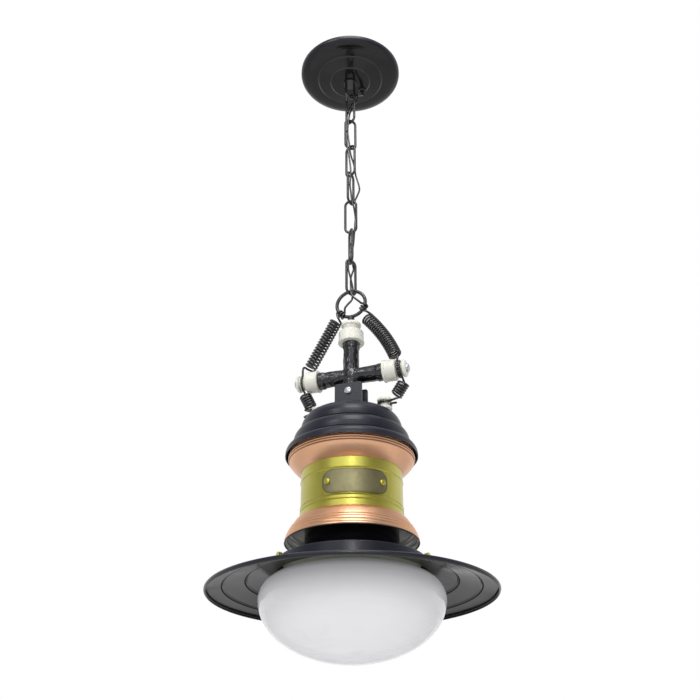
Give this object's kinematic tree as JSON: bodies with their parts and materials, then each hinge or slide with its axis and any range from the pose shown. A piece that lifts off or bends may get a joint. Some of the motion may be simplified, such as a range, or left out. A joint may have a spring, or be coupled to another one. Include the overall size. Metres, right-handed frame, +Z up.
{
  "type": "pendant light",
  "caption": "Chain-hung pendant lamp with a spun cap, brass and copper body, porcelain insulators, wound lead coils, a wide shallow shade and an opal globe.",
  "frame": {"origin": "on the ceiling plane, midway between the two ceiling screws, on the axis of the canopy", "axes": "+Z up into the ceiling, X along the line of the ceiling screws and of the side arms, -Y towards the side that carries the nameplate"},
  "size_m": [0.35, 0.35, 0.9308],
  "materials": {
    "black_paint": "satin blue-black paint on spun metal",
    "black_steel": "satin black on steel rod",
    "gloss_black_iron": "gloss black enamel on rough cast iron",
    "neck_paint": "gloss black",
    "zinc": "zinc plated",
    "black_plastic": "matt",
    "wire_cover": "smooth black insulation",
    "lead_cover": "cream insulation",
    "porcelain": "cream glaze",
    "copper": "polished copper",
    "brass": "polished, lacquered",
    "dark_bronze": "dark bronze",
    "opal_glass": "opal",
    "bulb_glass": "frosted",
    "bulb_metal": "bright"
  },
  "bodies": {
    "canopy": {"canopy": "black_paint", "ceiling_strap": "zinc", "canopy_hook": "black_steel", "hook_nut": "zinc", "outlet_bushing": "black_plastic", "terminal_block": "porcelain", "terminal_screws": "brass", "canopy_flex": "wire_cover"},
    "link_1": {"link_1": "black_steel", "flex_1": "wire_cover"},
    "link_2": {"link_2": "black_steel", "flex_2": "wire_cover"},
    "link_3": {"link_3": "black_steel", "flex_3": "wire_cover"},
    "link_4": {"link_4": "black_steel", "flex_4": "wire_cover"},
    "link_5": {"link_5": "black_steel", "flex_5": "wire_cover"},
    "link_6": {"link_6": "black_steel", "flex_6": "wire_cover"},
    "link_7": {"link_7": "black_steel", "flex_7": "wire_cover"},
    "lamp": {"lifting_ring": "black_steel", "top_insulator": "porcelain", "left_insulator": "porcelain", "right_insulator": "porcelain", "insulator_screws": "zinc", "cross_fitting": "gloss_black_iron", "bracket": "black_paint", "bracket_bolt": "zinc", "bracket_nut": "zinc", "stem": "brass", "stem_nuts": "brass", "cap": "black_paint", "left_spool": "porcelain", "right_spool": "porcelain", "left_wire": "wire_cover", "right_wire": "wire_cover", "inner_leads": "lead_cover", "upper_bell": "copper", "brass_band": "brass", "nameplate": "dark_bronze", "nameplate_screws": "brass", "lower_bell": "copper", "neck": "neck_paint", "neck_rivets": "neck_paint", "shade": "black_paint", "globe": "opal_glass", "lampholder": "porcelain", "bulb_cap": "bulb_metal", "bulb_glass": "bulb_glass"},
    "thumb_screw_1": {"thumb_screw_1": "brass"},
    "thumb_screw_2": {"thumb_screw_2": "brass"},
    "thumb_screw_3": {"thumb_screw_3": "brass"}
  },
  "joints": [
    {"name": "swing_1", "type": "hinge", "parent": "canopy", "child": "link_1", "pos_m": [0, 0, -0.0534], "axis": [0.7071, 0.7071, 0], "range_deg": [-10, 10]},
    {"name": "swing_2", "type": "hinge", "parent": "link_1", "child": "link_2", "pos_m": [0, 0, -0.1071], "axis": [0.9205, -0.3907, 0], "range_deg": [-10, 10]},
    {"name": "swing_3", "type": "hinge", "parent": "link_2", "child": "link_3", "pos_m": [0, 0, -0.161], "axis": [0.7986, 0.6018, 0], "range_deg": [-10, 10]},
    {"name": "swing_4", "type": "hinge", "parent": "link_3", "child": "link_4", "pos_m": [0, 0, -0.2149], "axis": [0.9336, -0.3584, 0], "range_deg": [-10, 10]},
    {"name": "swing_5", "type": "hinge", "parent": "link_4", "child": "link_5", "pos_m": [0, 0, -0.2688], "axis": [0.225, 0.9744, 0], "range_deg": [-10, 10]},
    {"name": "swing_6", "type": "hinge", "parent": "link_5", "child": "link_6", "pos_m": [0, 0, -0.3227], "axis": [0.9925, 0.1219, 0], "range_deg": [-10, 10]},
    {"name": "swing_7", "type": "hinge", "parent": "link_6", "child": "link_7", "pos_m": [0, 0, -0.3766], "axis": [0.5446, -0.8387, 0], "range_deg": [-10, 10]},
    {"name": "swing_8", "type": "hinge", "parent": "link_7", "child": "lamp", "pos_m": [0, 0, -0.4305], "axis": [0.5446, 0.8387, 0], "range_deg": [-10, 10]},
    {"name": "thumb_slide_1", "type": "slide", "parent": "lamp", "child": "thumb_screw_1", "axis": [0.9848, -0.1736, 0], "range_m": [0, 0.005]},
    {"name": "thumb_slide_2", "type": "slide", "parent": "lamp", "child": "thumb_screw_2", "axis": [-0.342, 0.9397, 0], "range_m": [0, 0.005]},
    {"name": "thumb_slide_3", "type": "slide", "parent": "lamp", "child": "thumb_screw_3", "axis": [-0.6428, -0.766, 0], "range_m": [0, 0.005]}
  ]
}
